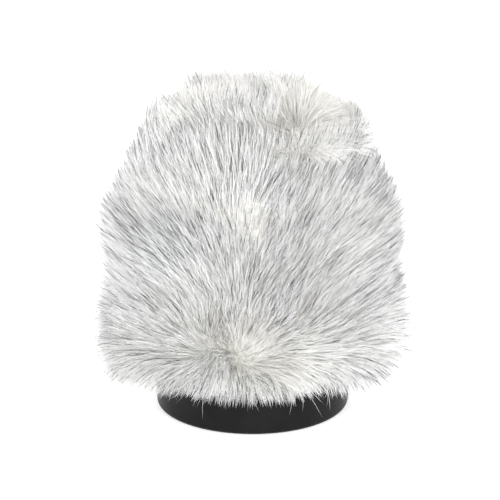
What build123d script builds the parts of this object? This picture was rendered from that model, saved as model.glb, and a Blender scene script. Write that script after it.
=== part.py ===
from build123d import *
import math
import os

# Furry windscreen for a short shotgun microphone. A moulded base ring carries a lattice cage
# in open-cell foam, and a long-pile fur cover slips over the foam down to the ring's shoulder.
# Millimetres, +Z up, origin at the centre of the ring's flat underside.

# Microphone passage
mic_bore_radius = 10.5
slot_depth = 95.0
grommet_wall = 1.8
grommet_recess = 0.8
grommet_flange_width = 2.7
grommet_flange_thickness = 2.2
grommet_lock_width = 1.5
grommet_lock_thickness = 1.6
grommet_sleeve_height = 9.0
grommet_lead_in = 0.8

# Retaining ring and its screws
screw_count = 4
screw_shank_radius = 1.0
screw_head_radius = 1.8
screw_head_height = 1.2
screw_wall = 0.95
screw_bite = 2.6
screw_slot_width = 0.5
screw_slot_depth = 0.6
retainer_cover = 1.9
retainer_edge = 0.2

# Cage
cage_wall = 1.6
cage_clearance = 0.2
cage_columns = 12
cage_rows = 8
cage_rib = 1.8
cage_end_band = 5.0
cap_disc_thickness = 2.0
cap_spigot_depth = 3.0
cap_spigot_wall = 2.3
cap_hole_radius = 1.5
cap_hole_rings = ((6, 5.5), (12, 11.0))
nose_pad_thickness = 5.0
nose_pad_edge_radius = 1.0

# Foam
foam_wall = 16.1
foam_cap_skirt = 2.0
foam_edge_radius = 11.0
crown_seam_drop = 1.0

# Base ring and plate
ring_height = 20.0
ring_taper = 1.0
ring_corner_radius = 2.0
ring_floor = 4.0
ring_shoulder = 3.0
ring_shoulder_edge = 0.8
neck_height = 8.0
neck_wall = 2.2
neck_edge = 0.6
lip_reach = 1.0
lip_height = 1.5
plate_thickness = 3.0
plate_boss_margin = 4.6
plate_boss_edge = 0.5
socket_wall = 1.6
socket_height = 6.0
plate_rib_count = 8
plate_rib_thickness = 1.6
plate_rib_height = 2.5

# Fur cover
backing_thickness = 1.2
tape_thickness = 0.5
tape_height = 6.0
elastic_thickness = 0.8
elastic_height = 4.0
seam_tape_width = 8.0
seam_tape_thickness = 0.4
seam_opening = 0.4
pile_depth = 23.4
crown_pile_depth = 20.6
fur_overhang = 5.0
lower_round_width = 17.5
lower_round_height = 25.0
crown_lean = 2.0
pile_parting = 0.6

# Stitches
stitch_width = 0.6
stitch_thickness = 0.45
stitch_lift = 0.05
hem_stitch_count = 60
hem_stitch_length = 2.6
crown_stitch_count = 56
crown_stitch_length = 3.4
crown_stitch_slant = 20.0
back_stitch_count = 22
back_stitch_length = 5.0
back_stitch_slant = 35.0

# Clearances
seat_gap = 0.15
thread_gap = 0.05
soft_gap = 0.3
cover_gap = 0.3
fold_gap = 0.1

# Radii, worked outwards from the microphone
grommet_radius = mic_bore_radius + grommet_wall
grommet_hole_radius = grommet_radius + seat_gap
grommet_flange_radius = grommet_radius + grommet_flange_width
grommet_lock_radius = grommet_radius + grommet_lock_width
screw_circle_radius = grommet_lock_radius + seat_gap + screw_wall + screw_shank_radius
retainer_radius = screw_circle_radius + screw_head_radius + retainer_edge
cage_inner_radius = retainer_radius + cage_clearance
cage_radius = cage_inner_radius + cage_wall
foam_inner_radius = cage_radius + soft_gap
core_radius = foam_inner_radius + foam_wall
ring_radius = core_radius + ring_shoulder
neck_inner_radius = core_radius - neck_wall
plate_radius = neck_inner_radius - seat_gap
plate_boss_radius = grommet_flange_radius + seat_gap + plate_boss_margin
ring_hole_radius = plate_boss_radius + seat_gap
socket_inner_radius = cage_radius + seat_gap
socket_radius = socket_inner_radius + socket_wall
base_foam_radius = neck_inner_radius - lip_reach - soft_gap
tape_inner_radius = core_radius + cover_gap
backing_inner_radius = tape_inner_radius + tape_thickness + fold_gap
backing_radius = backing_inner_radius + backing_thickness
elastic_inner_radius = backing_radius + fold_gap
elastic_radius = elastic_inner_radius + elastic_thickness
tape_radius = elastic_radius + fold_gap + tape_thickness
hem_stitch_radius = tape_radius + stitch_lift + stitch_thickness
hem_pile_radius = hem_stitch_radius + soft_gap
side_pile_radius = backing_radius + soft_gap
fur_radius = backing_radius + pile_depth

# Heights, worked upwards from the underside
plate_top_z = ring_floor + plate_thickness
grommet_flange_z = grommet_recess + grommet_flange_thickness
grommet_lock_z = plate_top_z + grommet_lock_thickness
retainer_top_z = grommet_lock_z + retainer_cover
grommet_top_z = plate_top_z + grommet_sleeve_height
cage_top_z = slot_depth + nose_pad_thickness
cap_top_z = cage_top_z + cap_disc_thickness
neck_top_z = ring_height + neck_height
foam_joint_z = cap_top_z + soft_gap
foam_top_z = foam_joint_z + foam_cap_skirt + foam_edge_radius
crown_seam_z = foam_joint_z + foam_cap_skirt - crown_seam_drop
hem_z = ring_height + cover_gap
hem_top_z = hem_z + tape_height
backing_bottom_z = hem_z + tape_thickness + fold_gap
elastic_bottom_z = (backing_bottom_z + hem_top_z - elastic_height) / 2
side_pile_bottom_z = hem_top_z + soft_gap
crown_backing_top_z = foam_top_z + backing_radius - core_radius
fur_bottom_z = ring_height - fur_overhang
fur_top_z = crown_backing_top_z + crown_pile_depth


def turned_profile(*corners):
    """Closed face in the XZ plane, from its corners as (radius, height)."""
    with BuildSketch(Plane.XZ) as profile:
        with BuildLine():
            Polyline(*corners, close=True)
        make_face()
    return profile.sketch


def block_corners(inner, outer, low, high):
    """Corners of a rectangular section between two radii and two heights."""
    return ((inner, low), (outer, low), (outer, high), (inner, high))


def block_profile(inner, outer, low, high):
    """Rectangular section between two radii and two heights."""
    return turned_profile(*block_corners(inner, outer, low, high))


def crown_wedge(outset, low):
    """Corners of the section above low and inside the line where the two piles part."""
    seam_radius = side_pile_radius + outset
    over_top_z = fur_top_z + crown_pile_depth
    lean = crown_lean * (over_top_z - low) / (fur_top_z - crown_seam_z)
    return ((0, low), (seam_radius, low), (seam_radius + lean, over_top_z), (0, over_top_z))


def dome_profile(outset, low):
    """Half section of the core's rounded top, grown by outset, down to the height low."""
    with BuildSketch(Plane.XZ) as profile:
        with BuildLine():
            top = Line((0, foam_top_z + outset), (core_radius - foam_edge_radius, foam_top_z + outset))
            edge = CenterArc(
                (core_radius - foam_edge_radius, foam_top_z - foam_edge_radius),
                foam_edge_radius + outset,
                90,
                -90,
            )
            Polyline(edge @ 1, (core_radius + outset, low), (0, low), top @ 0)
        make_face()
    return profile.sketch


def fur_profile(limit, cuts=()):
    """Half section of the fur body, inside the corners of limit and less those of each cut.
    The body has a rounded hem, an upright side and a round crown."""
    lower_z = fur_bottom_z + lower_round_height
    upper_z = fur_top_z - fur_radius
    with BuildSketch(Plane.XZ) as profile:
        with BuildLine():
            lower = EllipticalCenterArc(
                (fur_radius - lower_round_width, lower_z),
                lower_round_width,
                lower_round_height,
                start_angle=-90,
                arc_size=90,
            )
            upper = CenterArc((0, upper_z), fur_radius, 0, 90)
            Line(lower @ 1, upper @ 0)
            Polyline(upper @ 1, (0, fur_bottom_z), lower @ 0)
        make_face()
        with BuildLine():
            Polyline(*limit, close=True)
        make_face(mode=Mode.INTERSECT)
        for cut in cuts:
            with BuildLine():
                Polyline(*cut, close=True)
            make_face(mode=Mode.SUBTRACT)
    return profile.sketch


# Base ring: a rubber cup whose neck carries the foam and whose shoulder stops the cover
with BuildPart() as base_ring:
    with BuildSketch(Plane.XZ) as ring_profile:
        with BuildLine():
            Polyline(
                (ring_hole_radius, 0),
                (ring_radius - ring_taper, 0),
                (ring_radius, ring_height),
                (core_radius, ring_height),
                (core_radius, neck_top_z),
                (neck_inner_radius, neck_top_z),
                (neck_inner_radius, plate_top_z + fold_gap + lip_height + lip_reach),
                (neck_inner_radius - lip_reach, plate_top_z + fold_gap + lip_height),
                (neck_inner_radius - lip_reach, plate_top_z + fold_gap),
                (neck_inner_radius, plate_top_z + fold_gap),
                (neck_inner_radius, ring_floor),
                (ring_hole_radius, ring_floor),
                close=True,
            )
        make_face()
        bottom_corner = ring_profile.vertices().group_by(Axis.Y)[0].sort_by(Axis.X)[-1]
        fillet(bottom_corner, ring_corner_radius)
        shoulder_corner = ring_profile.vertices().sort_by(Axis.X)[-1]
        fillet(shoulder_corner, ring_shoulder_edge)
        neck_corner = ring_profile.vertices().group_by(Axis.Y)[-1].sort_by(Axis.X)[-1]
        fillet(neck_corner, neck_edge)
    revolve(axis=Axis.Z)

# Base plate: snaps under the ring's lip, with a boss down through the floor, a socket for the
# cage and stiffening ribs
with BuildPart() as base_plate:
    revolve(block_profile(grommet_hole_radius, plate_radius, ring_floor, plate_top_z), axis=Axis.Z)
    revolve(
        block_profile(grommet_hole_radius, plate_boss_radius, grommet_recess, ring_floor), axis=Axis.Z
    )
    revolve(
        block_profile(socket_inner_radius, socket_radius, plate_top_z, plate_top_z + socket_height),
        axis=Axis.Z,
    )
    rib_inner_radius = socket_radius - socket_wall / 2
    rib_outer_radius = plate_radius - lip_reach - seat_gap
    rib_middle_radius = (rib_inner_radius + rib_outer_radius) / 2
    with Locations((0, 0, plate_top_z)):
        with PolarLocations(rib_middle_radius, plate_rib_count):
            Box(
                rib_outer_radius - rib_inner_radius,
                plate_rib_thickness,
                plate_rib_height,
                align=(Align.CENTER, Align.CENTER, Align.MIN),
            )
    revolve(
        block_profile(0, grommet_flange_radius + seat_gap, 0, grommet_flange_z),
        axis=Axis.Z,
        mode=Mode.SUBTRACT,
    )
    with Locations((0, 0, plate_top_z)):
        with PolarLocations(screw_circle_radius, screw_count):
            Cylinder(
                screw_shank_radius + thread_gap,
                screw_bite + 2 * thread_gap,
                align=(Align.CENTER, Align.CENTER, Align.MAX),
                mode=Mode.SUBTRACT,
            )
    boss_edges = base_plate.edges().filter_by(GeomType.CIRCLE).group_by(Axis.Z)[0]
    chamfer(boss_edges.sort_by(SortBy.RADIUS)[-1], plate_boss_edge)

# Grommet: one soft moulding locked through the plate by a flange on each side
with BuildPart() as mic_grommet:
    revolve(
        turned_profile(
            (mic_bore_radius + grommet_lead_in, grommet_recess),
            (grommet_flange_radius, grommet_recess),
            (grommet_flange_radius, grommet_flange_z),
            (grommet_radius, grommet_flange_z),
            (grommet_radius, plate_top_z),
            (grommet_lock_radius, plate_top_z),
            (grommet_lock_radius, grommet_lock_z),
            (grommet_radius, grommet_lock_z),
            (grommet_radius, grommet_top_z),
            (mic_bore_radius + grommet_lead_in, grommet_top_z),
            (mic_bore_radius, grommet_top_z - grommet_lead_in),
            (mic_bore_radius, grommet_recess + grommet_lead_in),
        ),
        axis=Axis.Z,
    )

# Retaining ring over the grommet's upper flange
with BuildPart() as grommet_retainer:
    revolve(block_profile(grommet_hole_radius, retainer_radius, plate_top_z, retainer_top_z), axis=Axis.Z)
    revolve(
        block_profile(0, grommet_lock_radius + seat_gap, plate_top_z, grommet_lock_z),
        axis=Axis.Z,
        mode=Mode.SUBTRACT,
    )
    with Locations((0, 0, retainer_top_z)):
        with PolarLocations(screw_circle_radius, screw_count):
            Hole(screw_shank_radius + thread_gap)

# Self-tapping screws with slotted heads
with BuildPart() as retainer_screws:
    with Locations((0, 0, retainer_top_z)):
        with PolarLocations(screw_circle_radius, screw_count):
            Cylinder(
                screw_shank_radius,
                retainer_top_z - plate_top_z + screw_bite,
                align=(Align.CENTER, Align.CENTER, Align.MAX),
            )
            Cylinder(
                screw_head_radius, screw_head_height, align=(Align.CENTER, Align.CENTER, Align.MIN)
            )
    with Locations((0, 0, retainer_top_z + screw_head_height)):
        with PolarLocations(screw_circle_radius, screw_count):
            Box(
                screw_slot_width,
                2 * screw_head_radius,
                2 * screw_slot_depth,
                mode=Mode.SUBTRACT,
            )

# Cage: a lattice tube that stands in the plate's socket
with BuildPart() as cage_tube:
    revolve(block_profile(cage_inner_radius, cage_radius, plate_top_z, cage_top_z), axis=Axis.Z)
    window_pitch_z = (cage_top_z - plate_top_z - socket_height - 2 * cage_end_band + cage_rib) / cage_rows
    window_width = 2 * math.pi * cage_radius / cage_columns - cage_rib
    first_window_z = plate_top_z + socket_height + cage_end_band + (window_pitch_z - cage_rib) / 2
    for row in range(cage_rows):
        with Locations((0, 0, first_window_z + row * window_pitch_z)):
            with PolarLocations(cage_radius, cage_columns, start_angle=(row % 2) * 180 / cage_columns):
                Box(
                    4 * cage_wall,
                    window_width,
                    window_pitch_z - cage_rib,
                    mode=Mode.SUBTRACT,
                )

# Perforated cap on the cage, with a spigot inside the tube
with BuildPart() as cage_cap:
    revolve(block_profile(0, cage_radius, cage_top_z, cap_top_z), axis=Axis.Z)
    spigot_radius = cage_inner_radius - seat_gap
    revolve(
        block_profile(
            spigot_radius - cap_spigot_wall, spigot_radius, cage_top_z - cap_spigot_depth, cage_top_z
        ),
        axis=Axis.Z,
    )
    for hole_count, hole_circle_radius in cap_hole_rings:
        with Locations((0, 0, cap_top_z)):
            with PolarLocations(hole_circle_radius, hole_count):
                Hole(cap_hole_radius)

# Soft pad that the microphone's tip meets
with BuildPart() as nose_pad:
    revolve(
        block_profile(0, spigot_radius - cap_spigot_wall - soft_gap, slot_depth, cage_top_z), axis=Axis.Z
    )
    fillet(nose_pad.edges().group_by(Axis.Z)[0], nose_pad_edge_radius)

# Foam ring that fills the cup round the socket, clear of the plate's ribs
with BuildPart() as base_foam:
    revolve(
        block_profile(
            socket_radius + soft_gap,
            base_foam_radius,
            plate_top_z + plate_rib_height + soft_gap,
            neck_top_z - soft_gap,
        ),
        axis=Axis.Z,
    )

# Foam tube, standing on the ring's neck
with BuildPart() as foam_sleeve:
    revolve(block_profile(foam_inner_radius, core_radius, neck_top_z, foam_joint_z), axis=Axis.Z)

# Rounded foam disc that closes the tube
with BuildPart() as foam_end_cap:
    revolve(dome_profile(0, foam_joint_z), axis=Axis.Z)

# Knitted backing of the side panel, whose edges meet in an upright seam at the back
with BuildPart() as side_backing:
    with BuildSketch(Plane.YZ):
        with BuildLine():
            Polyline(
                *block_corners(
                    backing_inner_radius, backing_radius, backing_bottom_z, crown_seam_z - fold_gap
                ),
                close=True,
            )
        make_face()
    revolve(axis=Axis.Z, revolution_arc=360 - math.degrees(seam_opening / backing_radius))

# Knitted backing of the round top panel
with BuildPart() as crown_backing:
    revolve(dome_profile(backing_radius - core_radius, crown_seam_z + fold_gap), axis=Axis.Z)
    revolve(
        dome_profile(backing_inner_radius - core_radius, crown_seam_z - backing_thickness),
        axis=Axis.Z,
        mode=Mode.SUBTRACT,
    )

# Binding folded round the backing's lower edge
with BuildPart() as hem_tape:
    revolve(block_profile(tape_inner_radius, tape_radius, hem_z, hem_top_z), axis=Axis.Z)
    revolve(
        block_profile(
            tape_inner_radius + tape_thickness,
            tape_radius - tape_thickness,
            hem_z + tape_thickness,
            hem_top_z,
        ),
        axis=Axis.Z,
        mode=Mode.SUBTRACT,
    )

# Flat elastic between the binding's outer leg and the backing
with BuildPart() as hem_elastic:
    revolve(
        block_profile(
            elastic_inner_radius, elastic_radius, elastic_bottom_z, elastic_bottom_z + elastic_height
        ),
        axis=Axis.Z,
    )

# Running stitches round the binding
with BuildPart() as hem_stitches:
    with Locations((0, 0, (hem_z + hem_top_z) / 2)):
        with PolarLocations(hem_stitch_radius - stitch_thickness / 2, hem_stitch_count):
            Box(stitch_thickness, hem_stitch_length, stitch_width)

# Tape over the upright seam
seam_tape_bottom_z = hem_top_z + soft_gap
seam_tape_top_z = crown_seam_z - crown_stitch_length / 2 - soft_gap
with BuildPart() as back_seam_tape:
    revolve(
        block_profile(
            backing_radius + fold_gap,
            backing_radius + fold_gap + seam_tape_thickness,
            seam_tape_bottom_z,
            seam_tape_top_z,
        ),
        axis=Axis.Z,
    )
    with Locations((0, backing_radius, (seam_tape_bottom_z + seam_tape_top_z) / 2)):
        Box(
            seam_tape_width,
            backing_radius,
            seam_tape_top_z - seam_tape_bottom_z,
            mode=Mode.INTERSECT,
        )

# Slanted stitches through the seam tape
back_stitch_y = backing_radius + fold_gap + seam_tape_thickness + stitch_lift + stitch_thickness / 2
back_stitch_pitch = (seam_tape_top_z - seam_tape_bottom_z) / back_stitch_count
with BuildPart() as back_seam_stitches:
    for number in range(back_stitch_count):
        stitch_z = seam_tape_bottom_z + (number + 0.5) * back_stitch_pitch
        with Locations(Location((0, back_stitch_y, stitch_z), (0, back_stitch_slant, 0))):
            Box(back_stitch_length, stitch_thickness, stitch_width)

# Slanted stitches over the seam between side and crown
with BuildPart() as crown_seam_stitches:
    with Locations((0, 0, crown_seam_z)):
        with PolarLocations(backing_radius + stitch_lift + stitch_thickness / 2, crown_stitch_count):
            with Locations(Location((0, 0, 0), (crown_stitch_slant, 0, 0))):
                Box(stitch_thickness, stitch_width, crown_stitch_length)

# Pile of the side panel, relieved over the seam tape and the crown seam
stitch_relief_radius = backing_radius + stitch_lift + stitch_thickness + soft_gap
stitch_relief_reach = crown_stitch_length / 2 + soft_gap
tape_relief_radius = back_stitch_y + stitch_thickness / 2 + soft_gap
with BuildPart() as side_fur_pile:
    revolve(
        fur_profile(
            block_corners(side_pile_radius, 2 * fur_radius, side_pile_bottom_z, fur_top_z),
            (
                block_corners(
                    0,
                    stitch_relief_radius,
                    crown_seam_z - stitch_relief_reach,
                    crown_seam_z + stitch_relief_reach,
                ),
                crown_wedge(pile_parting, crown_seam_z),
            ),
        ),
        axis=Axis.Z,
    )
    Box(
        seam_tape_width + 2 * soft_gap,
        tape_relief_radius,
        crown_seam_z,
        align=(Align.CENTER, Align.MIN, Align.MIN),
        mode=Mode.SUBTRACT,
    )

# Pile of the top panel
with BuildPart() as crown_fur_pile:
    revolve(fur_profile(crown_wedge(0, crown_seam_z + stitch_relief_reach)), axis=Axis.Z)
    revolve(
        dome_profile(backing_radius - core_radius + soft_gap, crown_seam_z), axis=Axis.Z, mode=Mode.SUBTRACT
    )

# Pile below the side panel, which hangs over the ring
with BuildPart() as hem_fur_pile:
    revolve(
        fur_profile(
            block_corners(hem_pile_radius, 2 * fur_radius, fur_bottom_z, side_pile_bottom_z - soft_gap)
        ),
        axis=Axis.Z,
    )

pieces = {
    "base_ring": base_ring,
    "base_plate": base_plate,
    "mic_grommet": mic_grommet,
    "grommet_retainer": grommet_retainer,
    "retainer_screws": retainer_screws,
    "cage_tube": cage_tube,
    "cage_cap": cage_cap,
    "nose_pad": nose_pad,
    "base_foam": base_foam,
    "foam_sleeve": foam_sleeve,
    "foam_end_cap": foam_end_cap,
    "side_backing": side_backing,
    "crown_backing": crown_backing,
    "hem_tape": hem_tape,
    "hem_elastic": hem_elastic,
    "hem_stitches": hem_stitches,
    "back_seam_tape": back_seam_tape,
    "back_seam_stitches": back_seam_stitches,
    "crown_seam_stitches": crown_seam_stitches,
    "side_fur_pile": side_fur_pile,
    "crown_fur_pile": crown_fur_pile,
    "hem_fur_pile": hem_fur_pile,
}

os.makedirs("parts", exist_ok=True)
for piece_name, piece in pieces.items():
    piece.part.label = piece_name
    export_step(piece.part, f"parts/{piece_name}.step")
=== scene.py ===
import math
import bpy
import bmesh
import numpy as np
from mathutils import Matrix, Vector, noise


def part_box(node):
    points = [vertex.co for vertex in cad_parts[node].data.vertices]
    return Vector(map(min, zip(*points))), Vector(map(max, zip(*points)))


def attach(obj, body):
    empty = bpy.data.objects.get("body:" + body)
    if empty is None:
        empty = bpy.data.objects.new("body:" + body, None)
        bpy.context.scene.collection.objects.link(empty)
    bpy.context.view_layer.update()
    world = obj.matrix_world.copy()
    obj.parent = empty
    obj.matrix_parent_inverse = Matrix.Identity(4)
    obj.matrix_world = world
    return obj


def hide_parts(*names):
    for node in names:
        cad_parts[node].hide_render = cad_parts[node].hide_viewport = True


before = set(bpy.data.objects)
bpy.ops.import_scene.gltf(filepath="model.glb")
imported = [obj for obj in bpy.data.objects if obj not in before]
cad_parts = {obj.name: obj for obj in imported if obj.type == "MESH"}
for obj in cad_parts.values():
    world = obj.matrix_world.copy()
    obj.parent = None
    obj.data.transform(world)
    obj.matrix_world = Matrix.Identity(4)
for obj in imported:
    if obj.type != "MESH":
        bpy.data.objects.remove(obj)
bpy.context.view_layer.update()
mm = 0.001
scene = bpy.context.scene
print("stage: frame loaded,", len(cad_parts), "parts")


def arithmetic(operation, reflected=False):
    def combined(term, other):
        left, right = (other, term) if reflected else (term, other)
        return term.net.combine(operation, left, right)
    return combined


class Term:
    # one output of a node, which takes part in ordinary arithmetic

    def __init__(self, net, socket):
        self.net, self.socket = net, socket

    __add__ = __radd__ = arithmetic("ADD")
    __sub__, __rsub__ = arithmetic("SUBTRACT"), arithmetic("SUBTRACT", True)
    __mul__ = __rmul__ = arithmetic("MULTIPLY")
    __truediv__ = arithmetic("DIVIDE")
    __gt__, __lt__ = arithmetic("GREATER_THAN"), arithmetic("LESS_THAN")


class Net:
    # a node tree being filled: node() for any node, expressions for the maths

    def __init__(self, tree):
        self.tree = tree

    def node(self, kind, settings=None, sockets=None):
        made = self.tree.nodes.new(kind)
        for key, value in (settings or {}).items():
            if key == "stops":
                ramp = made.color_ramp
                while len(ramp.elements) < len(value):
                    ramp.elements.new(0.5)
                for element, (place, shade) in zip(ramp.elements, value):
                    element.position = place
                    element.color = shade
            else:
                setattr(made, key, value)
        for key, value in (sockets or {}).items():
            if isinstance(value, Term):
                self.tree.links.new(value.socket, made.inputs[key])
            else:
                made.inputs[key].default_value = value
        return made

    def term(self, kind, settings=None, sockets=None, output=0):
        return Term(self, self.node(kind, settings, sockets).outputs[output])

    def geometry(self, kind, sockets=None, output=0, **settings):
        return self.term("GeometryNode" + kind, settings, sockets, output)

    def isVector(self, value):
        if isinstance(value, Term):
            return value.socket.type == "VECTOR"
        return isinstance(value, (tuple, Vector))

    def combine(self, operation, left, right):
        vectors = self.isVector(left), self.isVector(right)
        if not any(vectors):
            return self.maths(operation, left, right)
        if operation == "MULTIPLY" and not all(vectors):
            whole, part = (left, right) if vectors[0] else (right, left)
            return self.term("ShaderNodeVectorMath", {"operation": "SCALE"}, {0: whole, "Scale": part})
        return self.vectorMaths(operation, left, right)

    def maths(self, operation, *values):
        return self.term("ShaderNodeMath", {"operation": operation}, dict(enumerate(values)))

    def vectorMaths(self, operation, *values):
        return self.term("ShaderNodeVectorMath", {"operation": operation}, dict(enumerate(values)))

    def joined(self, x, y, z):
        return self.term("ShaderNodeCombineXYZ", {}, {0: x, 1: y, 2: z})

    def parted(self, vector):
        # the three numbers of a vector
        made = self.node("ShaderNodeSeparateXYZ", {}, {0: vector})
        return [Term(self, output) for output in made.outputs]

    def mixed(self, share, first, second, kind="RGBA", blend="MIX"):
        # the Mix node numbers its sockets by the kind of value
        low, high, output = {"FLOAT": (2, 3, 0), "RGBA": (6, 7, 2)}[kind]
        settings = {"data_type": kind}
        if kind == "RGBA":
            settings["blend_type"] = blend
        return self.term("ShaderNodeMix", settings, {0: share, low: first, high: second}, output)

    def tinted(self, first, second):
        return self.mixed(1.0, first, second, blend="MULTIPLY")


def colour(red, green=None, blue=None):
    return (red, red if green is None else green, red if blue is None else blue, 1.0)


def newMaterial(name, constants):
    made = bpy.data.materials.new(name)
    made.use_nodes = True
    made.node_tree.nodes.clear()
    net = Net(made.node_tree)
    shader = net.node("ShaderNodeBsdfPrincipled", {}, constants)
    net.node("ShaderNodeOutputMaterial", {}, {"Surface": Term(net, shader.outputs["BSDF"])})

    def wire(socket, value):
        net.tree.links.new(value.socket, shader.inputs[socket])

    return made, net, wire


def newTree(name, inputs, result):
    # a Geometry Nodes tree with named inputs, its net, and a function that reads an input
    tree = bpy.data.node_groups.new(name, "GeometryNodeTree")
    for kind, keys in inputs.items():
        for key in keys:
            tree.interface.new_socket(key, in_out="INPUT", socket_type="NodeSocket" + kind)
    tree.interface.new_socket(result, in_out="OUTPUT", socket_type="NodeSocketGeometry")
    net = Net(tree)
    entry = net.node("NodeGroupInput")

    def given(key):
        return Term(net, entry.outputs[key])

    return tree, net, given


def objectPlace(net):
    return net.term("ShaderNodeTexCoord", {}, {}, "Object")


def noiseTerm(net, where, scale, detail=3.0, roughness=0.5):
    sockets = {"Vector": where, "Scale": scale, "Detail": detail, "Roughness": roughness}
    return net.term("ShaderNodeTexNoise", {}, sockets, "Fac")


def rampTerm(net, value, *stops):
    return net.term("ShaderNodeValToRGB", {"stops": stops}, {"Fac": value}, "Color")


def greyRamp(net, value, *stops):
    return rampTerm(net, value, *[(place, colour(level)) for place, level in stops])


def bumpTerm(net, height, strength, distance):
    return net.term("ShaderNodeBump", {}, {"Height": height, "Strength": strength, "Distance": distance}, "Normal")


# finishes

def makeRubber(name, values):
    # matt rubber or plastic: faint cloudiness and fine moulded grain
    made, net, wire = newMaterial(name, {"Roughness": values["roughness"], "Specular IOR Level": values["specular"]})
    place = objectPlace(net)
    cloud = noiseTerm(net, place, values["cloudScale"], 4.0)
    grain = noiseTerm(net, place, values["grainScale"], 2.0, 0.6)
    wire("Base Color", rampTerm(net, cloud, (0.3, values["dark"]), (0.7, values["light"])))
    spread, grainSpread = values["roughnessSpread"], 0.08
    wire("Roughness", values["roughness"] + (cloud - 0.5) * spread + (grain - 0.5) * grainSpread)
    wire("Normal", bumpTerm(net, grain, values["grainStrength"], 0.2 * mm))
    return made


ringRubber = makeRubber("ring rubber", {
    "roughness": 0.36, "roughnessSpread": 0.1, "specular": 0.07, "cloudScale": 90.0, "grainScale": 2600.0,
    "grainStrength": 0.12, "dark": colour(0.0078, 0.0078, 0.0083), "light": colour(0.0115, 0.0115, 0.0122)})
mouldedPlastic = makeRubber("moulded plastic", {
    "roughness": 0.5, "roughnessSpread": 0.12, "specular": 0.45, "cloudScale": 120.0, "grainScale": 1800.0,
    "grainStrength": 0.3, "dark": colour(0.016, 0.016, 0.018), "light": colour(0.024, 0.024, 0.026)})
grommetRubber = makeRubber("grommet rubber", {
    "roughness": 0.62, "roughnessSpread": 0.16, "specular": 0.4, "cloudScale": 160.0, "grainScale": 2200.0,
    "grainStrength": 0.35, "dark": colour(0.012), "light": colour(0.022, 0.021, 0.021)})
cagePlastic = makeRubber("cage plastic", {
    "roughness": 0.45, "roughnessSpread": 0.1, "specular": 0.5, "cloudScale": 80.0, "grainScale": 2000.0,
    "grainStrength": 0.2, "dark": colour(0.03, 0.031, 0.033), "light": colour(0.045, 0.046, 0.048)})


steelFinish = {
    "turnedScale": 4200.0, "turnedDepth": 0.05 * mm, "stainScale": 380.0, "roughness": 0.24, "roughnessSpread": 0.2,
    "dark": colour(0.42, 0.42, 0.41), "light": colour(0.62, 0.62, 0.61)}


def makeSteel():
    made, net, wire = newMaterial("screw steel", {"Metallic": 1.0, "Roughness": 0.3})
    place = objectPlace(net)
    turned = noiseTerm(net, place, steelFinish["turnedScale"], 2.0, 0.7)
    stain = noiseTerm(net, place, steelFinish["stainScale"], 3.0)
    wire("Base Color", rampTerm(net, stain, (0.35, steelFinish["dark"]), (0.6, steelFinish["light"])))
    wire("Roughness", steelFinish["roughness"] + turned * steelFinish["roughnessSpread"])
    wire("Normal", bumpTerm(net, turned, 0.15, steelFinish["turnedDepth"]))
    return made


foamFinish = {
    "cellScale": 1500.0, "fineScale": 3600.0, "patchScale": 70.0, "patchShare": 0.35, "depth": 0.5 * mm,
    "shadedPore": colour(0.004), "wall": colour(0.042, 0.042, 0.044)}


def makeFoam():
    # open-cell foam: dark grey, with fine cells between the coarse ones; the cells' hollows are painted near black as
    # shade
    made, net, wire = newMaterial("open-cell foam", {"Roughness": 0.95, "Specular IOR Level": 0.2})
    place = objectPlace(net)

    def cells(scale):
        return net.term("ShaderNodeTexVoronoi", {"feature": "F1"}, {"Vector": place, "Scale": scale}, "Distance")

    shadedPore = net.maths("SMOOTH_MIN", cells(foamFinish["cellScale"]), cells(foamFinish["fineScale"]), 0.2)
    shade = noiseTerm(net, place, foamFinish["patchScale"], 3.0)
    # painted shade: the colour goes near black where the cells dip in, as shade in the pores
    wall = rampTerm(net, shadedPore, (0.1, foamFinish["shadedPore"]), (0.55, foamFinish["wall"]))
    patch = greyRamp(net, shade, (0.3, 0.02), (0.7, 0.05))
    wire("Base Color", net.mixed(foamFinish["patchShare"], wall, patch, blend="MULTIPLY"))
    wire("Normal", bumpTerm(net, shadedPore, 0.9, foamFinish["depth"]))
    return made


def makeKnit(name, values):
    # knitted cloth read along the piece's own map: u round it, v up it; the grooves between the loops are painted
    # darker as shade
    made, net, wire = newMaterial(name, {"Roughness": 0.9, "Sheen Weight": 0.3, "Specular IOR Level": 0.25})
    across, up, _ = net.parted(net.term("ShaderNodeUVMap", {"uv_map": "weave"}, {}, "UV"))
    wale = net.maths("SINE", across * (math.tau * values["wales"]))
    lean = net.maths("ABSOLUTE", net.maths("SINE", across * (math.pi * values["wales"])))
    course = net.maths("SINE", (up * values["courses"] + lean * 0.35) * math.tau)
    loop = (wale * 0.5 + 0.5) * 0.5 + (course * 0.5 + 0.5) * 0.5
    fuzz = noiseTerm(net, objectPlace(net), 900.0, 3.0, 0.6)
    # painted shade: the colour follows the loops' bump, darker in the grooves between them; the fuzz adds real tone
    wire("Base Color", rampTerm(net, loop * 0.7 + fuzz * 0.3, (0.2, values["dark"]), (0.75, values["light"])))
    wire("Normal", bumpTerm(net, loop + fuzz * 0.5, 0.8, 0.3 * mm))
    return made


threadFinish = {"shade": (0.6, 0.59, 0.56), "plyScale": 900.0, "plyDepth": 0.1 * mm}


def makeThread():
    made, net, wire = newMaterial("white thread", {"Roughness": 0.75, "Sheen Weight": 0.2})
    shade = threadFinish["shade"]
    sockets = {"Vector": objectPlace(net), "Scale": threadFinish["plyScale"], "Distortion": 2.0, "Detail": 2.0}
    ply = net.term("ShaderNodeTexWave", {"wave_type": "BANDS", "bands_direction": "DIAGONAL"}, sockets, "Fac")
    # painted shade: the thread is darkened to half its colour in the grooves between its plies, where its bump is
    # lowest
    wire("Base Color", rampTerm(net, ply, (0.1, colour(*[0.5 * c for c in shade])), (0.8, colour(*shade))))
    wire("Normal", bumpTerm(net, ply, 0.6, threadFinish["plyDepth"]))
    return made


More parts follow.
